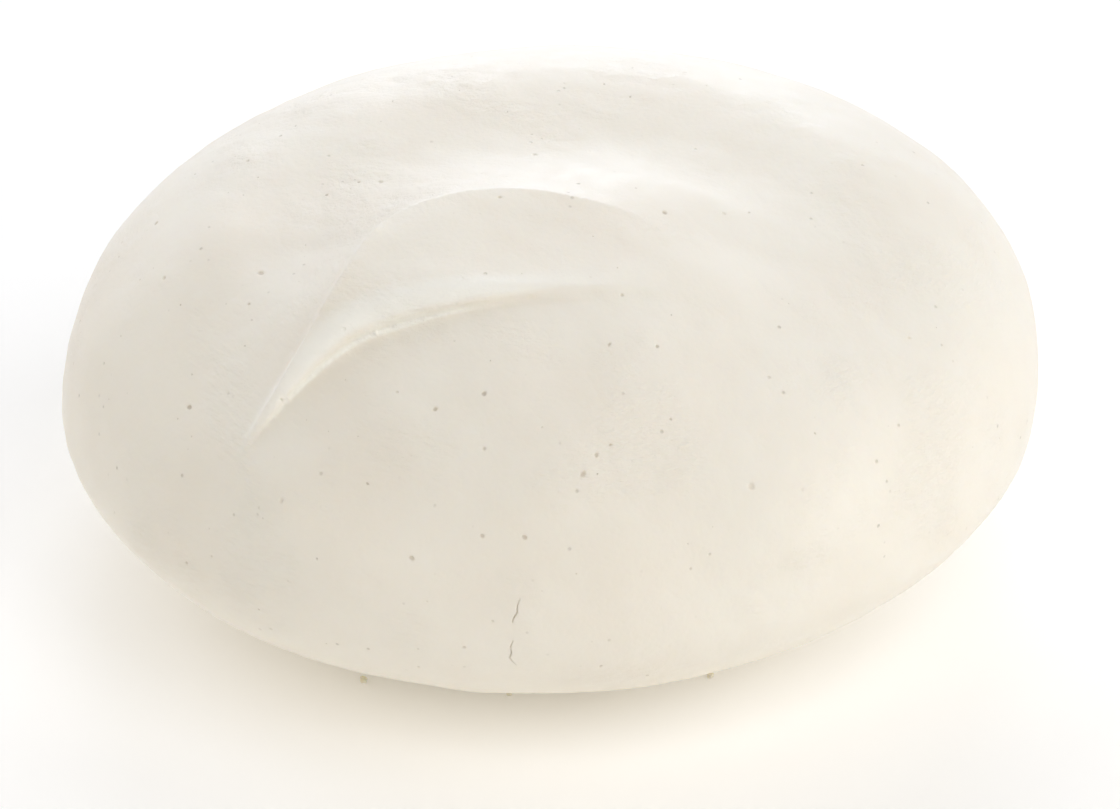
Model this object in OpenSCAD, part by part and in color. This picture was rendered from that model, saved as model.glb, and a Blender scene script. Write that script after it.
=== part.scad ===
// Whipped shaving soap puck: a set dollop with a dry crust, a softer core, a flat base skin and a
// drawn-out peak folded over its top.
// Millimetres, +Z up, +X to the right along the widest extent, origin at the middle of the base.

/* [Puck] */
// Width across the widest point, along X
puck_w = 76; // [60:1:90]
// Depth from front to back, along Y
puck_d = 71; // [58:1:84]
// Height of the smooth dome, before its relief
puck_h = 36.5; // [30:0.5:44]
// Height of the widest point above the table
waist_h = 14.5; // [11:0.5:18]
// Foot width as a share of the widest width
foot_share = 0.56; // [0.5:0.01:0.7]
// Fullness of the dome, where 2 is an ellipse
dome_power = 2.5; // [2:0.05:2.8]
// Fullness of the curve under the waist
under_power = 1.7; // [1.5:0.05:2.2]
// How far the top leans to the right of the waist, with the foot leaning the other way
lean_x = 2.1; // [-3:0.1:3]
// How far the top leans to the back of the waist
lean_y = -1.5; // [-3:0.1:3]

/* [Crust] */
// Thickness of the dry crust
crust_t = 3; // [2:0.25:4]
// Thickness of the flat skin on the base
base_t = 1; // [0.6:0.1:2]

/* [Relief] */
// Depth of the trough that curves round behind the peak
trough_depth = 1.6; // [0:0.1:2]
// Height of the rim outside the trough
rim_rise = 0.4; // [0:0.1:1.5]
// Strength of the soft swells and hollows, where 0 leaves them out
swell_strength = 1; // [0:0.1:1.5]
// Height of the folded peak over the dome
peak_rise = 2.6; // [0.5:0.1:4]

/* [Crumbs] */
// Width of the largest flake at the foot
crumb_w = 0.8; // [0.6:0.1:2]

/* [Hidden] */

CRUST_COLOUR = [0.95, 0.93, 0.89];
CORE_COLOUR = [0.93, 0.9, 0.82];
BASE_COLOUR = [0.9, 0.87, 0.79];
CRUMB_COLOUR = [0.97, 0.96, 0.93];

segments = 96;
under_rings = 7;
dome_rings = 24;
inner_under_rings = 5;
inner_dome_rings = 11;

// Sizes of the relief follow the puck's width
k = puck_w / 76;
// Keeps a division from reaching zero
tiny = 0.001;

// A mound is [half width, half depth, lowest z, share of the width there, highest z]
outer_mound = [puck_w / 2, puck_d / 2, 0, foot_share, puck_h];
inner_foot_share = foot_share - 0.02;
inner_mound = [puck_w / 2 - crust_t, puck_d / 2 - crust_t, base_t, inner_foot_share, puck_h - crust_t];

// The trough and the rim are stretches of ellipses round one middle
swirl_middle = [0.5, -9.5] * k;
trough_radii = [18, 11.5] * k;
rim_radii = [30, 24] * k;
// They run from the right (angle 0) over the back to the left
swirl_from = -30;
swirl_to = 200;
swirl_fade = 40;
trough_width = 7 * k;
rim_width = 6 * k;

// Soft swells, and hollows with a height below zero: [middle, height, radius]
swells = [
    [[-19, -29.5, 22.5] * k, 1.3, 4.5 * k],
    [[-13.5, -33, 20] * k, 1, 4.5 * k],
    [[-25, -7.5, 31.5] * k, 0.9, 6 * k],
    [[-26, -19, 28] * k, -0.7, 6.5 * k],
    [[18.5, -30.5, 21] * k, 1.5, 6 * k],
    [[26, -27, 20] * k, -0.3, 5.5 * k],
    [[10, -30, 28.5] * k, -0.4, 5 * k],
    [[18, -21, 31.5] * k, -1.1, 7 * k],
    [[27, -16, 30] * k, -0.8, 6 * k],
    [[24, -1, 34] * k, 0.6, 7 * k],
    [[30, -18, 23] * k, 0.4, 6.5 * k],
];

// The folded peak lies between a sharp back edge and a rounded lip, both from its root to its tip.
// Each place is [x, y, height against peak_rise, width of the slope outside the edge]
back_edge = [
    [9, -12, 0, 7],
    [4, -10.5, 0.4, 7],
    [-2, -9.8, 0.75, 7],
    [-8, -10.8, 0.95, 6],
    [-12, -13, 1, 4.5],
    [-14.6, -17.6, 0.9, 3.2],
    [-17.2, -21.8, 0.7, 2.5],
    [-19.8, -24.4, 0.4, 2],
    [-22, -25.7, 0, 1.5],
];
lip = [
    [8, -18.8, 0, 1.6],
    [3, -19.5, 0.1, 1.6],
    [-2, -20.3, 0.4, 1.4],
    [-7, -21.2, 0.65, 1.2],
    [-10.5, -21.7, 0.8, 1.2],
    [-13.5, -22.3, 0.8, 1.2],
    [-16, -23.4, 0.65, 1.2],
    [-18, -24.4, 0.5, 1.2],
    [-20, -25.4, 0.3, 1],
    [-22, -26.1, 0, 1],
];
// Depth of the scoop between the two edges, against peak_rise
scoop = 0.1;

// Flakes round the foot: [angle, how far outside the foot, size against crumb_w]
crumbs = [
    [205, 4, 0.8],
    [238, 2.6, 0.8],
    [266, 1.4, 0.6],
    [305, 2.8, 0.7],
    [337, 4, 0.8],
    [20, 3, 1],
    [95, 3.5, 0.8],
    [150, 3, 1],
];
crumb_gap = 0.1;
crumb_flatness = 0.5;
crumb_outline = [[-0.5, -0.2], [-0.1, -0.5], [0.4, -0.35], [0.5, 0.1], [0.15, 0.3], [-0.2, 0.5], [-0.45, 0.2]];

// ---- the smooth mound

// Height from the waist down to where the under curve would close
function under_depth(m) = (waist_h - m[2]) / pow(1 - pow(m[3], under_power), 1 / under_power);

// Share of the full width at height z below the waist
function under_share(m, z) = pow(1 - pow((waist_h - z) / under_depth(m), under_power), 1 / under_power);

// Radius of the waist in plan at angle a
function waist_r(m, a) = 1 / norm([cos(a) / m[0], sin(a) / m[1]]);

// A point on a mound: a is its angle in plan, r its radius as a share of the waist, z its height
function mound_point(m, a, r, z) =
    let (lean = (z - waist_h) / (puck_h - waist_h))
    [waist_r(m, a) * r * cos(a) + lean_x * lean, waist_r(m, a) * r * sin(a) + lean_y * lean, z];

// Share and height of a ring, where rise goes from 0 at the waist to 90 at the top
function dome_ring(m, rise) =
    [pow(cos(rise), 2 / dome_power), waist_h + (m[4] - waist_h) * pow(sin(rise), 2 / dome_power)];

// Outward direction of the mound at a dome ring
function dome_normal(m, a, ring) =
    let (
        side = pow(ring[0], dome_power - 1) / m[0],
        up = pow((ring[1] - waist_h) / (m[4] - waist_h), dome_power - 1) / (m[4] - waist_h)
    )
    [side * cos(a), side * sin(a), up] / norm([side, up]);

// ---- the relief

function fade(x) = let (t = min(1, max(0, x))) t * t * (3 - 2 * t);

// Height of one swell, given as a row of swells
function swell(p, s) = s[1] * exp(-pow(norm(p - s[0]) / s[2], 2));

// A soft ridge along a stretch of an ellipse round swirl_middle
function swirl(p, radii, width) =
    let (
        u = (p.x - swirl_middle.x) / radii.x,
        v = (p.y - swirl_middle.y) / radii.y,
        turn = (atan2(v, u) + 360 + 80) % 360 - 80,
        ends = fade((turn - swirl_from) / swirl_fade + 0.5) * fade((swirl_to - turn) / swirl_fade + 0.5)
    )
    ends * exp(-pow((norm([u, v]) - 1) * norm(radii) / sqrt(2) / width, 2));

function total(values, i = 0) = i == len(values) ? 0 : values[i] + total(values, i + 1);

// Height of the broad waves, which the crust and the core share
function waves(p) =
    rim_rise * swirl(p, rim_radii, rim_width)
    - trough_depth * swirl(p, trough_radii, trough_width)
    + swell_strength * total([for (s = swells) swell(p, s)]);

function plan(v) = [v.x, v.y] * k;

// Nearest place on one stretch of an edge: [distance, side, height, slope width]
function on_stretch(p, a, b) =
    let (
        along = plan(b - a),
        from_a = p - plan(a),
        t = min(1, max(0, from_a * along / (along * along))),
        off = from_a - along * t
    )
    [norm(off), sign(cross(along, off)), a[2] + (b[2] - a[2]) * t, (a[3] + (b[3] - a[3]) * t) * k];

function nearest(found, i = 0, best = 0) =
    i == len(found) ? found[best] : nearest(found, i + 1, found[i][0] < found[best][0] ? i : best);

function on_edge(p, edge) = nearest([for (i = [0 : len(edge) - 2]) on_stretch(p, edge[i], edge[i + 1])]);

// Height outside an edge, falling off over its slope
function outside(found) = found[2] * (1 - fade(found[0] / found[3]));

// Height between the two edges
function between(back, front) =
    let (share = back[0] / (back[0] + front[0] + tiny))
    back[2] + (front[2] - back[2]) * share - scoop * sin(180 * share) * back[2];

// Height of the folded peak over the dome at a place in plan
function peak(p) =
    let (back = on_edge(p, back_edge), front = on_edge(p, lip))
    peak_rise * (back[1] < 0 ? outside(back) : front[1] > 0 ? outside(front) : between(back, front));

// ---- rings of points, each a list of points round the mound

function under_ring(m, z) = [for (i = [0 : segments - 1]) mound_point(m, 360 * i / segments, under_share(m, z), z)];

// A dome ring pushed out by the waves, and by the peak where the surface has it
function relief_ring(m, rise, has_peak) =
    let (ring = dome_ring(m, rise))
    [for (i = [0 : segments - 1])
        let (
            a = 360 * i / segments,
            p = mound_point(m, a, ring[0], ring[1]),
            out = dome_normal(m, a, ring) * waves(p) * fade(rise / 25)
        )
        p + out + (has_peak ? [0, 0, peak([p.x, p.y])] : [0, 0, 0])];

// Rings of a whole mound from its lowest z to just under its top
function mound_rings(m, unders, domes, has_peak) = concat(
    [for (i = [0 : unders - 1]) under_ring(m, m[2] + (waist_h - m[2]) * pow(i / unders, 1.3))],
    [for (i = [0 : domes - 1]) relief_ring(m, 90 * i / domes, has_peak)]
);

function mound_top(m, has_peak) = relief_ring(m, 90, has_peak)[0];

function flat_ring(ring, z) = [for (p = ring) [p.x, p.y, z]];

// ---- closed solids from rings

function flatten(rings) = [for (ring = rings) each ring];

function band_faces(count) = [
    for (ring = [0 : count - 2], i = [0 : segments - 1])
        let (a = ring * segments + i, b = ring * segments + (i + 1) % segments)
        each [[a, a + segments, b + segments], [a, b + segments, b]]
];

// The solid inside a run of rings from the point first to the point last
module ring_solid(first, rings, last) {
    count = len(rings) * segments;
    first_fan = [for (i = [0 : segments - 1]) [count, i, (i + 1) % segments]];
    last_fan = [for (i = [0 : segments - 1]) [count + 1, count - segments + (i + 1) % segments, count - segments + i]];
    polyhedron(concat(flatten(rings), [first, last]), concat(band_faces(len(rings)), first_fan, last_fan));
}

inner_rings = mound_rings(inner_mound, inner_under_rings, inner_dome_rings, false);
inner_top = mound_top(inner_mound, false);

// ---- the pieces

// The dry outer skin with the folded peak, open at the base where base_skin closes it
module crust() {
    inner_down = [for (i = [len(inner_rings) - 1 : -1 : 0]) inner_rings[i]];
    outer_up = mound_rings(outer_mound, under_rings, dome_rings, true);
    color(CRUST_COLOUR)
        ring_solid(
            inner_top,
            concat(inner_down, [flat_ring(inner_rings[0], 0)], outer_up),
            mound_top(outer_mound, true)
        );
}

// The softer inside, which fills the crust down to the base skin
module core() {
    color(CORE_COLOUR)
        ring_solid([0, 0, base_t], inner_rings, inner_top);
}

// The flat skin that formed against the tray
module base_skin() {
    color(BASE_COLOUR)
        linear_extrude(height = base_t)
            polygon([for (p = inner_rings[0]) [p.x, p.y]]);
}

// Small dry flakes lying along the foot
module foot_crumbs() {
    color(CRUMB_COLOUR)
        for (c = crumbs)
            crumb(c[0], c[1], c[2] * crumb_w);
}

module crumb(a, away, w) {
    h = w * crumb_flatness;
    p = mound_point(outer_mound, a, under_share(outer_mound, h), 0);
    translate(p + (w / 2 + crumb_gap + away) * [cos(a), sin(a), 0])
        rotate([0, 0, 3 * a])
            linear_extrude(height = h)
                polygon(crumb_outline * w);
}

crust();
core();
base_skin();
foot_crumbs();
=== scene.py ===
import math

import bmesh
import bpy
import numpy as np
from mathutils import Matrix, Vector


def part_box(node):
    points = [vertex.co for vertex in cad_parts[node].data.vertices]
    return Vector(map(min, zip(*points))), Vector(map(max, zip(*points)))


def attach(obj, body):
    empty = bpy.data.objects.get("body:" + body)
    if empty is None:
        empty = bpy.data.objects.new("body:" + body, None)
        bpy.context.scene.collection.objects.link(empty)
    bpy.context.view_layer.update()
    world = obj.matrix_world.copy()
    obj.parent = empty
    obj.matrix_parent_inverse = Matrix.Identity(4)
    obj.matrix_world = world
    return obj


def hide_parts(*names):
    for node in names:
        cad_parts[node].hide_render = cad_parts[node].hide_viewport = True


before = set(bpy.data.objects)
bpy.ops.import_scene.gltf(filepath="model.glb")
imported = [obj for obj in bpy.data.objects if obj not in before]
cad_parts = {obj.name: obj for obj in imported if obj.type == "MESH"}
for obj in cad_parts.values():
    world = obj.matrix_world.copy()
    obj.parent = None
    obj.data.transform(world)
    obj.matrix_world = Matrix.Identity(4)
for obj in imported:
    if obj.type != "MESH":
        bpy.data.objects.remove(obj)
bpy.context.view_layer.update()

# The looks of a whipped shaving soap puck. Shapes are worked out in millimetres, and become metres
# when a mesh is made. +Z is up, +X runs to the right and +Y to the back, as in the CAD model.
MM = 0.001
SEED = 7

# The driving dimensions, the same as the CAD model's
HALF_W = 38.0
HALF_D = 35.5
TOP = 36.5
WAIST = 14.5
FOOT_SHARE = 0.56
DOME_POWER = 2.5
UNDER_POWER = 1.7
LEAN = np.array([2.1, -1.5])

# Relief heights
TROUGH_DEPTH = 1.6
RIM_RISE = 0.4

# The trough and the rim are stretches of ellipses round one middle
SWIRL_MIDDLE = np.array([0.5, -9.5])
TROUGH_RADII = np.array([18.0, 11.5])
RIM_RADII = np.array([30.0, 24.0])
SWIRL_FROM = -30.0
SWIRL_TO = 200.0
SWIRL_FADE = 40.0
TROUGH_WIDTH = 7.0
RIM_WIDTH = 6.0

# Soft swells and hollows: the middle, the height and the radius
SWELLS = [
    ((-19, -29.5, 22.5), 1.3, 4.5),
    ((-13.5, -33, 20), 1.0, 4.5),
    ((-25, -7.5, 31.5), 0.9, 6),
    ((-26, -19, 28), -0.7, 6.5),
    ((18.5, -30.5, 21), 1.5, 6),
    ((26, -27, 20), -0.3, 5.5),
    ((10, -30, 28.5), -0.4, 5),
    ((18, -21, 31.5), -1.1, 7),
    ((27, -16, 30), -0.8, 6),
    ((24, -1, 34), 0.6, 7),
    ((30, -18, 23), 0.4, 6.5),
]

# The folded peak lies between a sharp back edge and a rounded lip. Each row is a place along an edge,
# from the root to the tip: x, y and height over the dome. Then comes the width of the slope behind the
# back edge, or how softly the crease under the lip runs out
BACK_EDGE = [
    (17, -18, -2.5, 7.0),
    (14, -14.5, -1.6, 7.0),
    (9, -12, -0.2, 7.0),
    (4, -10.5, 1.0, 7.0),
    (-2, -9.8, 1.9, 7.0),
    (-8, -10.8, 2.5, 6.0),
    (-12, -13, 2.6, 4.5),
    (-14.6, -17.6, 2.4, 3.2),
    (-17.2, -21.8, 1.8, 2.5),
    (-19.8, -24.4, 1.0, 2.0),
    (-22, -25.7, 0.1, 1.5),
    (-24, -26.6, -1.0, 1.5),
]
LIP = [
    (17, -20, -2.5, 1.6),
    (13, -19, -1.4, 1.6),
    (8, -18.8, -0.4, 1.6),
    (3, -19.5, 0.3, 1.2),
    (-2, -20.3, 1.0, 0.8),
    (-7, -21.2, 1.7, 0.3),
    (-10.5, -21.7, 2.0, 0.15),
    (-13.5, -22.3, 2.0, 0.15),
    (-16, -23.4, 1.7, 0.25),
    (-18, -24.4, 1.3, 0.3),
    (-20, -25.4, 0.8, 0.3),
    (-22, -26.1, 0.1, 0.3),
    (-24, -27, -1.0, 0.3),
]
LIP_RADIUS = 1.6
SCOOP_DEPTH = 0.3
UNDERCUT = 0.5
BACK_BLEND = 1.2
BACK_SINK = 0.3


# ---- the shape as a function: negative inside, and about the distance in millimetres outside


def fade(x):
    """From 0 to 1 as x does, with a soft start and end."""
    t = np.clip(x, 0, 1)
    return t * t * (3 - 2 * t)


def mix(a, b, t):
    """From a to b as t goes from 0 to 1."""
    return a + (b - a) * t


def smooth_min(a, b, width):
    """The smaller of a and b, with the corner between them rounded over width."""
    h = np.clip(0.5 + 0.5 * (b - a) / width, 0, 1)
    return mix(b, a, h) - width * h * (1 - h)


def round_max(a, b, radius):
    """The larger of a and b, with a rounded outer corner."""
    a, b = a + radius, b + radius
    return np.minimum(np.maximum(a, b), 0) + np.hypot(np.maximum(a, 0), np.maximum(b, 0)) - radius


UNDER_DEPTH = WAIST / (1 - FOOT_SHARE**UNDER_POWER) ** (1 / UNDER_POWER)


def mound(p):
    """Distance to the smooth mound."""
    z = p[:, 2] - WAIST
    lean = z / (TOP - WAIST)
    x = p[:, 0] - LEAN[0] * lean
    y = p[:, 1] - LEAN[1] * lean
    n = np.where(z > 0, DOME_POWER, UNDER_POWER)
    height = np.where(z > 0, TOP - WAIST, UNDER_DEPTH)
    q = np.hypot(x / HALF_W, y / HALF_D) + 1e-9
    v = np.abs(z) / height
    s = (q**n + v**n) ** (1 / n)
    slope_q = (q / s) ** (n - 1) * np.hypot(x / HALF_W**2, y / HALF_D**2) / q
    slope_v = (v / s) ** (n - 1) / height
    return (s - 1) / np.hypot(slope_q, slope_v)


def swirl(p, radii, width):
    """A soft ridge along a stretch of an ellipse round SWIRL_MIDDLE."""
    u, v = ((p[:, :2] - SWIRL_MIDDLE) / radii).T
    turn = (np.degrees(np.arctan2(v, u)) + 80) % 360 - 80
    ends = fade((turn - SWIRL_FROM) / SWIRL_FADE + 0.5) * fade((SWIRL_TO - turn) / SWIRL_FADE + 0.5)
    off = (np.hypot(u, v) - 1) * math.hypot(*radii) / math.sqrt(2)
    return ends * np.exp(-((off / width) ** 2))


def waves(p):
    """Height of the broad relief."""
    out = RIM_RISE * swirl(p, RIM_RADII, RIM_WIDTH) - TROUGH_DEPTH * swirl(p, TROUGH_RADII, TROUGH_WIDTH)
    for middle, height, radius in SWELLS:
        out += height * np.exp(-((p - np.array(middle)) ** 2).sum(1) / radius**2)
    return out * fade((p[:, 2] - WAIST) / 11)


def spline(rows, steps=8):
    """A smooth curve through rows of numbers (Catmull-Rom)."""
    rows = np.array(rows, float)
    ends = [2 * rows[0] - rows[1], *rows, 2 * rows[-1] - rows[-2]]
    out = []
    for a, b, c, d in zip(ends, ends[1:], ends[2:], ends[3:]):
        for t in np.arange(steps) / steps:
            curve = 2 * b + (c - a) * t + (2 * a - 5 * b + 4 * c - d) * t**2 + (3 * b - a - 3 * c + d) * t**3
            out.append(curve / 2)
    return np.array(out + [rows[-1]])


BACK_CURVE = spline(BACK_EDGE)
LIP_CURVE = spline(LIP)
PEAK_LOW = np.array([-30.0, -36.0])
PEAK_HIGH = np.array([18.0, 1.0])


def beside(p, curve):
    """Signed distance in plan from a curve, positive on its left, and the curve's values there."""
    a, along = curve[:-1, :2], np.diff(curve[:, :2], axis=0)
    out = []
    for part in np.array_split(p[:, :2], len(p) // 20000 + 1):
        off = part[:, None] - a
        t = np.clip((off * along).sum(2) / (along**2).sum(1), 0, 1)
        off -= along * t[..., None]
        gap = np.hypot(off[..., 0], off[..., 1])
        i = gap.argmin(1)
        pick = np.arange(len(part)), i
        side = along[i, 0] * off[pick][:, 1] - along[i, 1] * off[pick][:, 0]
        share = gap * gap + 0.5
        share = 1 / (share * share * share)
        values = share @ (curve[:-1, 2:] + curve[1:, 2:]) / 2 / share.sum(1, keepdims=True)
        out.append(np.column_stack([np.where(side > 0, 1, -1) * gap[pick], values]))
    return np.concatenate(out).T


def by_peak(p):
    """Which points are in the box round the peak."""
    return ((p[:, :2] > PEAK_LOW) & (p[:, :2] < PEAK_HIGH)).all(1) & (p[:, 2] > WAIST)


def with_peak(p, body):
    """The body's distances with the folded peak laid over it."""
    near = by_peak(p) & (np.abs(body) < 5)
    if not near.any():
        return body
    q, b = p[near], body[near]
    back, back_h, back_w = beside(q, BACK_CURVE)
    front, front_h, crease = beside(q, LIP_CURVE)
    front = -front
    share = np.clip(back / (np.abs(back) + np.abs(front) + 1e-6), 0, 1)
    share = np.where(front < 0, 1, share)
    wide = np.clip((back + front) / 9, 0, 1)
    inside = mix(back_h, front_h, share) - SCOOP_DEPTH * wide * np.sin(np.pi * share) * np.clip(back_h, 0, 1)
    t = -back / back_w
    fall = np.clip(back_h + BACK_SINK, 0, None) * np.where(t < 1, 2 * t - t * t, 1)
    behind = back_h - fall - 2 * np.clip(t - 1, 0, None)
    height = np.where(back < 0, behind, inside)
    under = UNDERCUT * np.clip(front_h * 0.5 - b, 0, 2)
    peak = round_max(b - height, -front + under, np.clip(front_h * 0.8, 0.05, LIP_RADIUS))
    blend = mix(crease, BACK_BLEND, fade(-back / 3))
    out = body.copy()
    out[near] = smooth_min(b, peak, blend)
    return out


def ripples(p, wavelength, seed, count=20):
    """Even, wavy unevenness of about height 1, the same each run."""
    rng = np.random.default_rng(seed)
    out = np.zeros(len(p))
    for _ in range(count):
        way = rng.normal(size=3)
        way *= 2 * math.pi / wavelength * rng.uniform(0.7, 1.4) / np.linalg.norm(way)
        out += np.sin(p @ way + rng.uniform(0, 2 * math.pi))
    return out / math.sqrt(count)


def coarse_shape(p):
    """The puck without its finest unevenness."""
    body = mound(p)
    near = np.abs(body) < 5
    body[near] -= waves(p[near])
    return with_peak(p, body)


def shape(p):
    """The puck's skin, for points that are already near it."""
    return coarse_shape(p) - 0.06 * ripples(p, 9, SEED) - 0.025 * ripples(p, 3, SEED + 1)


def slope(field, p, step=0.02):
    """Gradient of a field at each point."""
    out = np.empty_like(p)
    for axis in range(3):
        side = np.zeros(3)
        side[axis] = step
        out[:, axis] = (field(p + side) - field(p - side)) / (2 * step)
    return out


def settle(p, rounds, flat=None, most=0.5):
    """Moves points onto the skin, each round by at most that much. Those marked flat keep their height."""
    step = 0.02
    for _ in range(rounds):
        value = shape(p)
        g = np.stack([(shape(p + side) - value) / step for side in step * np.eye(3)], 1)
        if flat is not None:
            g[flat, 2] = 0
        move = g * (value / np.maximum((g**2).sum(1), 0.05))[:, None]
        size = np.linalg.norm(move, axis=1, keepdims=True)
        p = p - move * np.minimum(1, most / np.maximum(size, 1e-9))
    return p


# ---- the skin's mesh


def surface_net(field, low, high, cell):
    """A closed mesh of quads where the field is zero (a naive surface net), as points and triangles."""
    counts = np.ceil((high - low) / cell).astype(int) + 1
    axes = [low[i] + cell * np.arange(counts[i]) for i in range(3)]
    grid = np.stack(np.meshgrid(*axes, indexing="ij"), -1).reshape(-1, 3)
    value = field(grid).reshape(counts)
    total = np.zeros((*(counts - 1), 3))
    crossings = np.zeros(counts - 1)
    for axis in range(3):
        other = [i for i in range(3) if i != axis]
        a = np.take(value, range(counts[axis] - 1), axis)
        b = np.take(value, range(1, counts[axis]), axis)
        crosses = (a < 0) != (b < 0)
        t = np.where(crosses, a / np.where(crosses, a - b, 1), 0)
        for du in (0, 1):
            for dv in (0, 1):
                cut = [slice(None)] * 3
                cut[other[0]] = slice(du, counts[other[0]] - 1 + du)
                cut[other[1]] = slice(dv, counts[other[1]] - 1 + dv)
                c, tt = crosses[tuple(cut)], t[tuple(cut)]
                crossings += c
                total[..., axis] += np.where(c, tt, 0)
                total[..., other[0]] += c * du
                total[..., other[1]] += c * dv
    used = crossings > 0
    number = np.full(used.shape, -1)
    number[used] = np.arange(used.sum())
    points = low + cell * (np.argwhere(used) + total[used] / crossings[used][:, None])
    quads = []
    for axis in range(3):
        u, v = (axis + 1) % 3, (axis + 2) % 3
        a = np.take(value, range(counts[axis] - 1), axis) < 0
        b = np.take(value, range(1, counts[axis]), axis) < 0
        where = np.argwhere(a != b)
        inner = (where[:, u] > 0) & (where[:, v] > 0)
        inner &= (where[:, u] < counts[u] - 1) & (where[:, v] < counts[v] - 1)
        where = where[inner]
        corners = []
        for du, dv in ((1, 1), (0, 1), (0, 0), (1, 0)):
            at = where.copy()
            at[:, u] -= du
            at[:, v] -= dv
            corners.append(number[tuple(at.T)])
        quad = np.stack(corners, 1)
        leaves = a[tuple(where.T)]
        quads.append(np.where(leaves[:, None], quad, quad[:, ::-1]))
    quads = np.concatenate(quads)
    return points, np.concatenate([quads[:, [0, 1, 2]], quads[:, [0, 2, 3]]])


def cut_at_table(points, faces):
    """Cuts the mesh off at z = 0 and leaves it open there."""
    mesh = bpy.data.meshes.new("cut")
    mesh.from_pydata(points.tolist(), [], faces.tolist())
    bm = bmesh.new()
    bm.from_mesh(mesh)
    every = bm.verts[:] + bm.edges[:] + bm.faces[:]
    plane = {"plane_co": (0, 0, 0), "plane_no": (0, 0, 1)}
    bmesh.ops.bisect_plane(bm, geom=every, dist=0.02, clear_inner=True, **plane)
    bmesh.ops.triangulate(bm, faces=bm.faces[:])
    bm.verts.index_update()
    points = np.array([v.co for v in bm.verts])
    faces = np.array([[v.index for v in f.verts] for f in bm.faces])
    bm.free()
    bpy.data.meshes.remove(mesh)
    return points, faces


def edges_of(faces):
    """The mesh's edges once each, and for each face the numbers of its three edges."""
    pairs = np.sort(np.stack([faces, np.roll(faces, -1, 1)], 2).reshape(-1, 2), 1)
    count = faces.max() + 1
    keys, number = np.unique(pairs[:, 0] * count + pairs[:, 1], return_inverse=True)
    return np.stack(np.divmod(keys, count), 1), number.reshape(-1, 3)


def split_faces(faces, numbers, middle):
    """Splits each face at those of its edges that have a middle point."""
    marks = middle[numbers] >= 0
    count = marks.sum(1)
    out = [faces[count == 0]]
    for wanted, pattern in ((1, (True, False, False)), (2, (True, True, False)), (3, (True, True, True))):
        for turn in range(3 if wanted < 3 else 1):
            f, n = np.roll(faces, -turn, 1), np.roll(numbers, -turn, 1)
            pick = (np.roll(marks, -turn, 1) == pattern).all(1)
            a, b, c = f[pick].T
            ab, bc, ca = middle[n[pick]].T
            if wanted == 1:
                out += [np.stack([a, ab, c], 1), np.stack([ab, b, c], 1)]
            elif wanted == 2:
                out += [np.stack([ab, b, bc], 1), np.stack([a, ab, bc], 1), np.stack([a, bc, c], 1)]
            else:
                out += [np.stack(s, 1) for s in ((a, ab, ca), (ab, b, bc), (ca, bc, c), (ab, bc, ca))]
    return np.concatenate(out)


def refine(points, faces, wanted, passes):
    """Splits edges until none is much longer than wanted(points) at its middle."""
    for _ in range(passes):
        edges, numbers = edges_of(faces)
        ends = points[edges]
        length = np.linalg.norm(ends[:, 0] - ends[:, 1], axis=1)
        marked = length > 1.4 * wanted(ends.mean(1))
        if not marked.any():
            break
        longest = numbers[np.arange(len(faces)), length[numbers].argmax(1)]
        for _ in range(3):
            marked[longest[marked[numbers].any(1)]] = True
        middle = np.full(len(edges), -1)
        middle[marked] = len(points) + np.arange(marked.sum())
        fresh = ends[marked].mean(1)
        points = np.concatenate([points, settle(fresh, 1, fresh[:, 2] < TOUCH, SMALL_MOVE)])
        faces = split_faces(faces, numbers, middle)
    return points, faces


def untangle(points, faces):
    """Evens out the few places where a narrow edge has folded triangles over."""
    edges, _ = edges_of(faces)
    for _ in range(6):
        a, b, c = points[faces].transpose(1, 0, 2)
        facing = (np.cross(b - a, c - a) * slope(shape, (a + b + c) / 3)).sum(1)
        folded = np.zeros(len(points), bool)
        folded[faces[facing <= 0]] = True
        folded[edges[folded[edges].any(1)]] = True
        total, count = np.zeros_like(points), np.zeros(len(points))
        for start, end in (edges.T, edges.T[::-1]):
            np.add.at(total, start, points[end])
            np.add.at(count, start, 1)
        points = np.where(folded[:, None], total / count[:, None], points)
    return points


# ---- pores and the crack

# The plainest pores: a place near the skin, and the radius
PLAIN_PORES = [
    (-21.5, -12, 33, 0.24),
    (-30, -1, 30, 0.2),
    (-28, -9, 29, 0.16),
    (-19, -30, 23.5, 0.2),
    (-26, -20, 25, 0.2),
    (2.5, -32, 27, 0.26),
    (3.5, -31, 28, 0.18),
    (4.5, -30.5, 28.5, 0.14),
    (-3.5, -11, 38, 0.18),
    (-1, 1, 37, 0.2),
    (5.5, -20, 35, 0.18),
    (4.5, -24, 33, 0.18),
    (8, -24, 33, 0.15),
    (-8, -28, 30, 0.18),
    (-4.5, -27.5, 31, 0.2),
    (14.5, -30.5, 25, 0.24),
    (-9.5, -33, 21, 0.2),
    (-4.5, -33.5, 23, 0.18),
    (-1.5, -33.5, 23, 0.18),
    (-16, -31, 20, 0.12),
    (13.5, -8, 36, 0.16),
    (15.5, -7, 36, 0.14),
    (9, -10, 37, 0.2),
    (-13, -2, 36, 0.18),
    (-17, -3, 35, 0.14),
    (-23, 3, 33, 0.16),
    (-6, -35, 14, 0.16),
    (4, -35, 12, 0.14),
    (-22, -15, 31, 0.14),
]
# Two shallow flat dimples on the back rim: place, radius
DIMPLES = [(-12, 13, 35, 0.9), (-9.5, 11, 36, 0.6)]
PORE_COUNT = 230
PORE_RADII = (0.05, 0.15)
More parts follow.
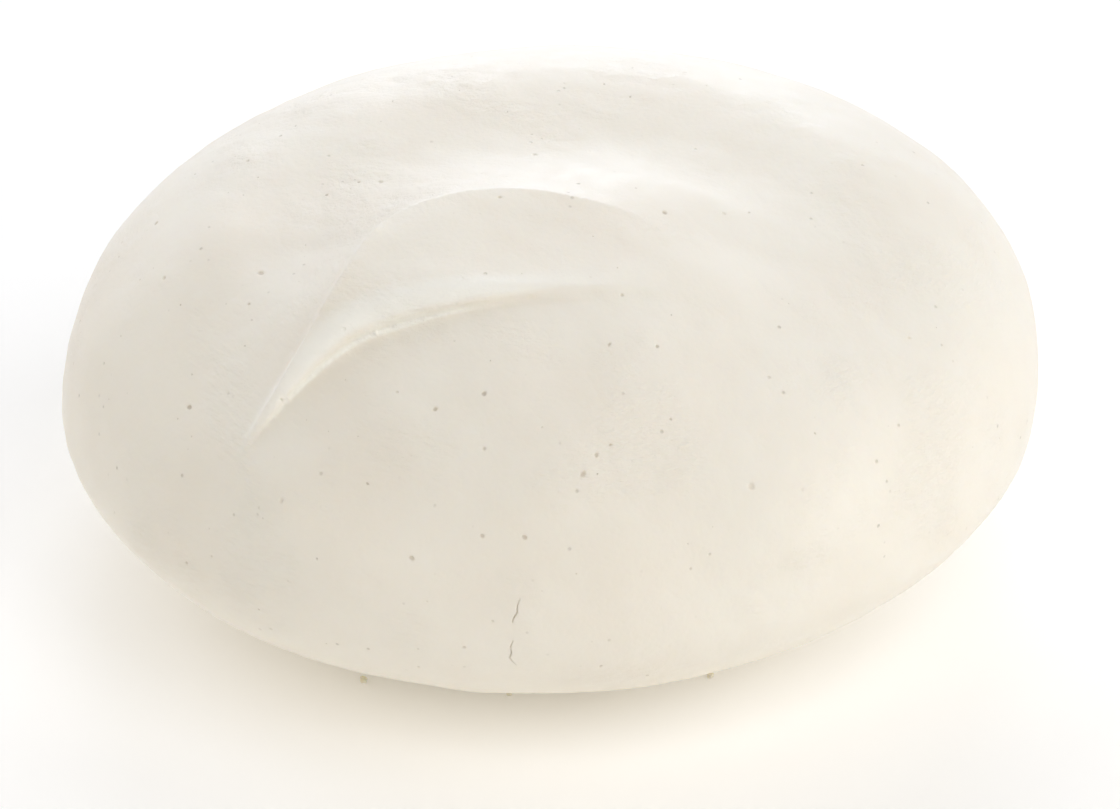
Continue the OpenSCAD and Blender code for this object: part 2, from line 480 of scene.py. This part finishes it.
# The broken hairline crack low on the front: places near the skin, from the top down
CRACKS = [
    [
        (-1.9, -35, 18.7),
        (-2.1, -35, 18.1),
        (-2.1, -35, 17.5),
        (-2.35, -35, 17.0),
        (-2.4, -35, 16.6),
    ],
    [
        (-2.4, -35, 15.0),
        (-2.6, -35, 14.4),
        (-2.55, -35, 13.8),
        (-2.7, -35, 13.3),
        (-2.5, -35, 12.8),
        (-2.2, -35, 12.3),
    ],
]
CRACK_HALF_WIDTH = 0.05
CRACK_DEPTH = 0.25
# How dark the crack is painted: painted shade inside it
CRACK_SHADE = 0.6
DIMPLE_DEPTH = 0.12
# The mesh's spacing before refining, the rounds of refining, and the height under which a point is
# taken to lie on the table
CELL = 0.75
PASSES = 5
TOUCH = 1e-4
# How far a point may move in one round once the mesh is being refined
SMALL_MOVE = 0.12


def on_skin(places):
    """The places moved onto the skin."""
    return settle(np.array(places, float), 8)


def scatter_pores(points, faces):
    """Pores as centres and radii: the plain ones, then small ones strewn over the skin."""
    rng = np.random.default_rng(SEED + 10)
    a, b, c = points[faces].transpose(1, 0, 2)
    area = np.linalg.norm(np.cross(b - a, c - a), axis=1)
    middle = (a + b + c) / 3
    leftness = fade((12 - middle[:, 0]) / 40)
    weight = area * (0.35 + leftness) * (middle[:, 2] > 2)
    for curve in (BACK_CURVE, LIP_CURVE):
        gap, height, _ = beside(middle, curve)
        weight *= (np.abs(gap) > 1.3) | (height < -0.3) | (middle[:, 2] < WAIST)
    pick = rng.choice(len(faces), PORE_COUNT, p=weight / weight.sum())
    low, high = PORE_RADII
    radii = low + (high - low) * rng.random(PORE_COUNT) ** 2.2
    plain = on_skin([p[:3] for p in PLAIN_PORES])
    return np.concatenate([plain, middle[pick]]), np.concatenate([[p[3] for p in PLAIN_PORES], radii])


def crack_distance(p, cracks):
    """Distance from the nearest crack's line, and the share of its full width there."""
    best, width = np.full(len(p), 99.0), np.zeros(len(p))
    for crack in cracks:
        spans = len(crack) - 1
        for i in range(spans):
            along = crack[i + 1] - crack[i]
            t = np.clip((p - crack[i]) @ along / (along @ along), 0, 1)
            gap = np.linalg.norm(p - crack[i] - t[:, None] * along, axis=1)
            closer = gap < best
            best[closer] = gap[closer]
            width[closer] = np.sin(np.pi * (0.1 + 0.8 * (i + t[closer]) / spans))
    return best, width


def skin_mesh():
    """The visible skin, cut off at the table: points, triangles, and each point's share of painted shade
    (pores and crack) and of painted glow (the lip).
    """
    margin = np.array([2.0, 2.0, 1.5])
    low = np.array([-HALF_W, -HALF_D, 0]) - margin
    high = np.array([HALF_W, HALF_D, TOP + 3]) + margin
    points, faces = surface_net(coarse_shape, low, high, CELL)
    points, faces = cut_at_table(settle(points, 2), faces)
    points = settle(points, 2, flat=points[:, 2] < TOUCH)
    cracks = [on_skin(crack) for crack in CRACKS]
    middles, radii = scatter_pores(points, faces)

    def wanted(p):
        """How long an edge may be at each point."""
        size = np.full(len(p), CELL)
        inside = by_peak(p)
        for curve in (BACK_CURVE, LIP_CURVE):
            gap, height, _ = beside(p[inside], curve)
            fine = 0.2 + 0.35 * np.clip(np.abs(gap) - 0.6, 0, None)
            size[inside] = np.where(height > -0.3, np.minimum(size[inside], fine), size[inside])
        for middle, radius in zip(middles, radii):
            close = np.abs(p - middle).max(1) < 1.5 * radius + 2
            gap = np.linalg.norm(p[close] - middle, axis=1)
            size[close] = np.minimum(size[close], radius / 2.5 + 0.5 * np.clip(gap - 1.2 * radius, 0, None))
        gap, _ = crack_distance(p, cracks)
        return np.minimum(size, 0.06 + 0.5 * np.clip(gap - 0.15, 0, None))

    points, faces = refine(points, faces, wanted, PASSES)
    points = untangle(settle(points, 2, points[:, 2] < TOUCH, SMALL_MOVE), faces)
    way = slope(shape, points)
    way /= np.linalg.norm(way, axis=1, keepdims=True)
    # Pores and the crack are sunk into the skin and also darkened with painted shade inside them
    depth, pit_shade = np.zeros(len(points)), np.zeros(len(points))
    shade_strengths = np.random.default_rng(SEED + 11).uniform(0.3, 1, len(radii))
    for middle, radius, shade_strength in zip(middles, radii, shade_strengths):
        close = np.abs(points - middle).max(1) < 2 * radius
        share = np.linalg.norm(points[close] - middle, axis=1) / radius
        share *= 1 + 0.25 * ripples(points[close], 3 * radius, SEED + 3, 6)
        pit = np.clip(1 - share**2, 0, None) ** 0.7
        depth[close] = np.maximum(depth[close], 0.5 * radius * pit)
        pit_shade[close] = np.maximum(pit_shade[close], shade_strength * fade((1.05 - share) / 0.5))
    for x, y, z, radius in DIMPLES:
        share = np.linalg.norm(points - on_skin([(x, y, z)]), axis=1) / radius
        depth += DIMPLE_DEPTH * fade((1 - share) / 0.4)
    gap, width = crack_distance(points, cracks)
    split = np.clip(1 - gap / (CRACK_HALF_WIDTH * width + 1e-6), 0, 1)
    depth += CRACK_DEPTH * split
    # Painted shade along the crack
    pit_shade = np.maximum(pit_shade, CRACK_SHADE * split)
    # Painted highlight: a lighter share along the lip's rounded roll, for light glowing through the thin lip
    lip_glow = np.zeros(len(points))
    top = np.flatnonzero(by_peak(points))
    gap, height, _ = beside(points[top], LIP_CURVE)
    lip_glow[top] = np.clip(height / 1.5, 0, 1) * np.where(gap < 0, fade(-gap / 0.3) * fade((2.4 + gap) / 1.6), 0)
    return points - way * depth[:, None], faces, pit_shade, lip_glow


def crust_object():
    """The dry crust as a closed shell: the skin outside, and the core's own surface inside."""
    points, faces, pit_shade, lip_glow = skin_mesh()
    mesh = bpy.data.meshes.new("whipped_crust")
    mesh.from_pydata((points * MM).tolist(), [], faces.tolist())
    # The painted shade of pores and crack and the painted glow of the lip go on the mesh as point attributes
    for name, values in (("pore_shade", pit_shade), ("lip_glow", lip_glow)):
        mesh.attributes.new(name, "FLOAT", "POINT").data.foreach_set("value", values.astype(np.float32))
    bm = bmesh.new()
    bm.from_mesh(mesh)
    rim = [e for e in bm.edges if e.is_boundary]
    outer_count = len(bm.verts)
    bm.from_mesh(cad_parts["core"].data)
    inner = bm.verts[:][outer_count:]
    bmesh.ops.remove_doubles(bm, verts=inner, dist=1e-6)
    floor_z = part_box("core")[0].z
    bm.verts.ensure_lookup_table()
    inner = bm.verts[:][outer_count:]
    under = {f for v in inner for f in v.link_faces if all(abs(w.co.z - floor_z) < 1e-6 for w in f.verts)}
    bmesh.ops.delete(bm, geom=list(under), context="FACES")
    inner_faces = {f for v in bm.verts[:][outer_count:] for f in v.link_faces}
    bmesh.ops.reverse_faces(bm, faces=list(inner_faces))
    loop = [e for e in bm.edges if e.is_boundary and e.verts[0].co.z > floor_z / 2]
    wall = bmesh.ops.extrude_edge_only(bm, edges=loop)["geom"]
    for v in wall:
        if isinstance(v, bmesh.types.BMVert):
            v.co.z = 0
    edges = [e for e in bm.edges if e.is_boundary]
    bmesh.ops.triangle_fill(bm, use_beauty=True, use_dissolve=False, edges=edges, normal=(0, 0, -1))
    bm.to_mesh(mesh)
    bm.free()
    return add_piece(mesh, "crust")


def add_piece(mesh, node):
    """A mesh as a smooth-shaded piece that stands for a CAD node."""
    mesh.shade_smooth()
    mesh.set_sharp_from_angle(angle=math.radians(60))
    piece = bpy.data.objects.new(mesh.name, mesh)
    bpy.context.scene.collection.objects.link(piece)
    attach(piece, "root")
    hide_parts(node)
    return piece


def loose_parts(node):
    """The middle and the half size of each separate solid in a CAD node, in millimetres."""
    bm = bmesh.new()
    bm.from_mesh(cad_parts[node].data)
    bmesh.ops.remove_doubles(bm, verts=bm.verts[:], dist=1e-6)
    left, parts = set(bm.verts), []
    while left:
        found, queue = set(), [left.pop()]
        while queue:
            v = queue.pop()
            found.add(v)
            near = {e.other_vert(v) for e in v.link_edges} - found
            queue += near
            left -= near
        co = np.array([v.co for v in found]) / MM
        parts.append(((co.min(0) + co.max(0)) / 2, (co.max(0) - co.min(0)) / 2))
    bm.free()
    return sorted(parts, key=lambda part: part[0][0])


def flakes_object():
    """Broken dry flakes along the foot, one for each solid of the CAD node."""
    bm = bmesh.new()
    for i, (middle, half) in enumerate(loose_parts("foot_crumbs")):
        flake = bmesh.ops.create_icosphere(bm, subdivisions=4, radius=1)["verts"]
        p = np.array([v.co for v in flake])
        rough = 1 + 0.22 * ripples(p, 1.6, SEED + 20 + i) + 0.07 * ripples(p, 0.5, SEED + 40 + i)
        p = np.clip(p * rough[:, None], -0.82, 1.1) * half * [1, 1, 1.35] + middle
        p[:, 2] = np.maximum(p[:, 2], 0)
        for v, co in zip(flake, p):
            v.co = co * MM
    mesh = bpy.data.meshes.new("foot_flakes")
    bm.to_mesh(mesh)
    bm.free()
    return add_piece(mesh, "foot_crumbs")


# ---- materials


class Nodes:
    """A short way to add shader nodes to a material."""

    def __init__(self, name):
        self.material = bpy.data.materials.new(name)
        self.material.use_nodes = True
        self.tree = self.material.node_tree
        self.shader = self.tree.nodes["Principled BSDF"]
        self.place = self.add("ShaderNodeTexCoord").outputs["Object"]

    def add(self, kind, **values):
        """A new node, with values for its properties and its sockets."""
        node = self.tree.nodes.new(kind)
        for name, value in values.items():
            if hasattr(node, name):
                setattr(node, name, value)
        for name, value in values.items():
            if not hasattr(node, name):
                self.set(node, name.replace("_", " "), value)
        return node

    def feed(self, socket, value):
        """Links a value that comes from another node, or sets a plain one."""
        if isinstance(value, bpy.types.NodeSocket):
            self.tree.links.new(value, socket)
        else:
            socket.default_value = value

    def set(self, node, name, value):
        """Gives a node's named socket a value."""
        self.feed(node.inputs[name], value)

    def noise(self, scale, detail=3.0, roughness=0.5, place=None):
        """Noise with features about 1 / scale metres wide."""
        node = self.add("ShaderNodeTexNoise", Scale=scale, Detail=detail, Roughness=roughness)
        self.set(node, "Vector", place or self.place)
        return node.outputs["Fac"]

    def ramp(self, value, low, high, to_low=0.0, to_high=1.0):
        """The value's place between low and high, stretched to the other range and held inside it."""
        ends = {"From_Min": low, "From_Max": high, "To_Min": to_low, "To_Max": to_high}
        node = self.add("ShaderNodeMapRange", Value=value, **ends)
        return node.outputs["Result"]

    def blend(self, share, a, b):
        """Colour a turning into colour b as share goes from 0 to 1."""
        node = self.add("ShaderNodeMix", data_type="RGBA")
        for socket, value in zip((node.inputs[0], node.inputs[6], node.inputs[7]), (share, a, b)):
            self.feed(socket, value)
        return node.outputs[2]

    def math(self, operation, a, b):
        """The result of one sum on two values."""
        node = self.add("ShaderNodeMath", operation=operation)
        for socket, value in zip(node.inputs, (a, b)):
            self.feed(socket, value)
        return node.outputs[0]

    def bump(self, height, distance, under=None):
        """A bump of that height in metres, over another bump if one is given."""
        node = self.add("ShaderNodeBump", Strength=1.0, Distance=distance, Height=height)
        if under:
            self.set(node, "Normal", under)
        return node.outputs["Normal"]


def colour(r, g, b):
    """A colour given in sRGB from 0 to 255, as the shader's linear one."""
    linear = [((c / 255 + 0.055) / 1.055) ** 2.4 for c in (r, g, b)]
    return (*linear, 1.0)


def foam(name, main, shade, depth, crinkle):
    """Dried whipped foam: an uneven off-white that lets a little light in and has fine skin crinkles, with
    painted shade in its pores, tiny pits and crack, and a painted glow along the lip.
    """
    m = Nodes(name)
    patches = m.ramp(m.noise(90, 4), 0.35, 0.65)
    base = m.blend(patches, main, shade)
    # Tiny pits: sunk by the bump at the end, and darkened with painted shade
    pit_cells = m.add("ShaderNodeTexVoronoi", Scale=900.0, feature="F1")
    m.set(pit_cells, "Vector", m.place)
    rare = m.ramp(m.noise(260, 2), 0.58, 0.66)
    tiny_pits = m.math("MULTIPLY", m.ramp(pit_cells.outputs["Distance"], 0.16, 0.06), rare)
    base = m.blend(m.math("MULTIPLY", tiny_pits, 0.35), base, colour(150, 140, 120))
    # Painted shade inside the pores and the crack
    pore_shade = m.add("ShaderNodeAttribute", attribute_name="pore_shade").outputs["Fac"]
    base = m.blend(m.math("MULTIPLY", pore_shade, 0.5), base, colour(170, 156, 132))
    # Painted highlight: the lip's thin roll is made lighter, for light glowing through it
    lip_glow = m.add("ShaderNodeAttribute", attribute_name="lip_glow").outputs["Fac"]
    base = m.blend(lip_glow, base, colour(255, 253, 244))
    m.set(m.shader, "Base Color", base)
    m.set(m.shader, "Roughness", m.ramp(m.noise(700, 3), 0.3, 0.7, 0.42, 0.58))
    m.set(m.shader, "Subsurface Weight", m.ramp(lip_glow, 0, 1, 0.25, 0.05))
    m.set(m.shader, "Subsurface Radius", (1.0, 0.85, 0.65))
    m.set(m.shader, "Subsurface Scale", depth)
    m.set(m.shader, "Specular IOR Level", 0.3)
    # Dried skin: faint grain all over, and patches of flat crinkles
    flat = m.add("ShaderNodeMapping", Scale=(0.6, 0.6, 2.0), Vector=m.place).outputs["Vector"]
    dry = m.ramp(m.noise(110, 3), 0.48, 0.62)
    fine = m.bump(m.noise(2600, 3, 0.6), 0.00004 * crinkle)
    wrinkles = m.math("MULTIPLY", m.noise(1300, 4, 0.65, flat), dry)
    wrinkled = m.bump(wrinkles, 0.00017 * crinkle, fine)
    m.set(m.shader, "Normal", m.bump(m.math("SUBTRACT", 0.0, tiny_pits), 0.00006, wrinkled))
    return m.material


def flake_material():
    """Thin dry flakes, which let much of the light through."""
    m = Nodes("dry_flakes")
    m.set(m.shader, "Base Color", m.blend(m.noise(1500, 2), colour(255, 251, 240), colour(250, 238, 212)))
    m.set(m.shader, "Roughness", 0.5)
    m.set(m.shader, "Subsurface Weight", 0.6)
    m.set(m.shader, "Subsurface Radius", (1.0, 0.8, 0.5))
    m.set(m.shader, "Subsurface Scale", 0.0004)
    return m.material


def base_skin_material():
    """The smooth skin that formed against the tray, with flattened bubbles and a faint warm ring."""
    m = Nodes("tray_side_skin")
    bubble = m.add("ShaderNodeTexVoronoi", Scale=420.0, feature="F1")
    m.set(bubble, "Vector", m.place)
    ring = m.ramp(bubble.outputs["Distance"], 0.25, 0.12)
    warm = m.ramp(m.noise(60, 4), 0.35, 0.7)
    base = m.blend(warm, colour(232, 224, 206), colour(222, 208, 180))
    base = m.blend(m.math("MULTIPLY", ring, 0.3), base, colour(205, 190, 160))
    m.set(m.shader, "Base Color", base)
    m.set(m.shader, "Roughness", m.ramp(m.noise(500, 3), 0.3, 0.7, 0.35, 0.5))
    m.set(m.shader, "Subsurface Weight", 0.3)
    m.set(m.shader, "Subsurface Radius", (1.0, 0.7, 0.4))
    m.set(m.shader, "Subsurface Scale", 0.001)
    m.set(m.shader, "Normal", m.bump(m.math("SUBTRACT", 0.0, ring), 0.00005))
    return m.material


def paint(piece, material):
    """Gives a piece one material, in place of any it had."""
    piece.data.materials.clear()
    piece.data.materials.append(material)


# ---- the stage, in metres and watts

TABLE_HALF = 0.75
# The table lies this far under the puck, so that the two never share a plane
TABLE_GAP = 0.00002
TABLE_GLOW = 0.17
ROOM_LIGHT = 0.11
LIGHT_SIZE = 0.4
LIGHT_AWAY = 0.8
LIGHT_AIM = Vector((0, 0, 0.015))

COLD = (0.87, 0.91, 1.0)
COOL = (0.95, 0.965, 1.0)
WARM = (1.0, 0.92, 0.8)
# Soft lights round the puck: the way round from the back, clockwise from above, the height in degrees,
# the power and the tint
LIGHTS = {
    "top": (0, 90, 0.45, COLD),
    "back": (0, 50, 1.15, COLD),
    "back_low": (0, 14, 2.0, COLD),
    "back_right": (45, 20, 0.55, COLD),
    "right": (85, 20, 1.4, COOL),
    "front_right": (135, 50, 1.4, COOL),
    "front_right_low": (135, 20, 1.1, WARM),
    "front": (180, 50, 1.15, COOL),
    "front_left": (225, 30, 0.25, WARM),
    "left": (270, 20, 0.95, WARM),
    "back_left": (315, 20, 1.5, COLD),
    "back_left_high": (315, 50, 0.3, COOL),
}

CAMERA_ELEVATION = math.radians(32)
CAMERA_AWAY = 0.38
CAMERA_AIM = Vector((0.00095, 0, 0.01295))
LENS = 155.3
SENSOR = 36


def table_and_room():
    """A pale table that glows faintly, as an overlit sweep does, and an even warm light all round."""
    mesh = bpy.data.meshes.new("table")
    corners = [(x * TABLE_HALF, y * TABLE_HALF, 0) for x, y in ((-1, -1), (1, -1), (1, 1), (-1, 1))]
    mesh.from_pydata(corners, [], [(0, 1, 2, 3)])
    table = bpy.data.objects.new("table", mesh)
    table.location.z = -TABLE_GAP
    bpy.context.scene.collection.objects.link(table)
    m = Nodes("white_table")
    m.set(m.shader, "Base Color", m.blend(m.noise(40, 2), (0.9, 0.9, 0.9, 1), (0.92, 0.92, 0.92, 1)))
    m.set(m.shader, "Roughness", 0.7)
    m.set(m.shader, "Specular IOR Level", 0.2)
    m.set(m.shader, "Emission Color", (1.0, 0.96, 0.85, 1))
    m.set(m.shader, "Emission Strength", TABLE_GLOW)
    paint(table, m.material)

    world = bpy.data.worlds.new("studio")
    world.use_nodes = True
    background = world.node_tree.nodes["Background"]
    background.inputs["Color"].default_value = (*WARM, 1)
    background.inputs["Strength"].default_value = ROOM_LIGHT
    backdrop = world.node_tree.nodes.new("ShaderNodeBackground")
    backdrop.inputs["Color"].default_value = (1, 1, 1, 1)
    seen = world.node_tree.nodes.new("ShaderNodeLightPath")
    choice = world.node_tree.nodes.new("ShaderNodeMixShader")
    output = world.node_tree.nodes["World Output"]
    for start, end in (
        (seen.outputs["Is Camera Ray"], choice.inputs[0]),
        (background.outputs[0], choice.inputs[1]),
        (backdrop.outputs[0], choice.inputs[2]),
        (choice.outputs[0], output.inputs["Surface"]),
    ):
        world.node_tree.links.new(start, end)
    bpy.context.scene.world = world


def softbox(name, turn, height, power, tint):
    """A square soft light that faces the puck."""
    turn, height = math.radians(turn), math.radians(height)
    flat = math.cos(height)
    away = Vector((flat * math.sin(turn), flat * math.cos(turn), math.sin(height)))
    light = bpy.data.lights.new(name, "AREA")
    light.size = LIGHT_SIZE
    light.energy = power
    light.color = tint
    lamp = bpy.data.objects.new(name, light)
    lamp.location = LIGHT_AIM + LIGHT_AWAY * away
    lamp.rotation_euler = (-away).to_track_quat("-Z", "Y").to_euler()
    bpy.context.scene.collection.objects.link(lamp)


def camera():
    """A long lens in front of the puck, looking down at it."""
    back = Vector((0, -math.cos(CAMERA_ELEVATION), math.sin(CAMERA_ELEVATION)))
    data = bpy.data.cameras.new("camera")
    data.sensor_width = SENSOR
    data.lens = LENS
    eye = bpy.data.objects.new("camera", data)
    eye.location = CAMERA_AIM + back * CAMERA_AWAY
    eye.rotation_euler = (-back).to_track_quat("-Z", "Y").to_euler()
    bpy.context.scene.collection.objects.link(eye)
    bpy.context.scene.camera = eye


camera()
table_and_room()
for light, settings in LIGHTS.items():
    softbox(light, *settings)
bpy.context.scene.view_settings.view_transform = "Standard"

crust = crust_object()
paint(crust, foam("dried_foam", colour(250, 244, 232), colour(247, 240, 227), 0.002, 1.0))
flakes = flakes_object()
paint(flakes, flake_material())
paint(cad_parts["core"], foam("soft_foam", colour(240, 234, 214), colour(232, 224, 202), 0.003, 1.5))
paint(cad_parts["base_skin"], base_skin_material())
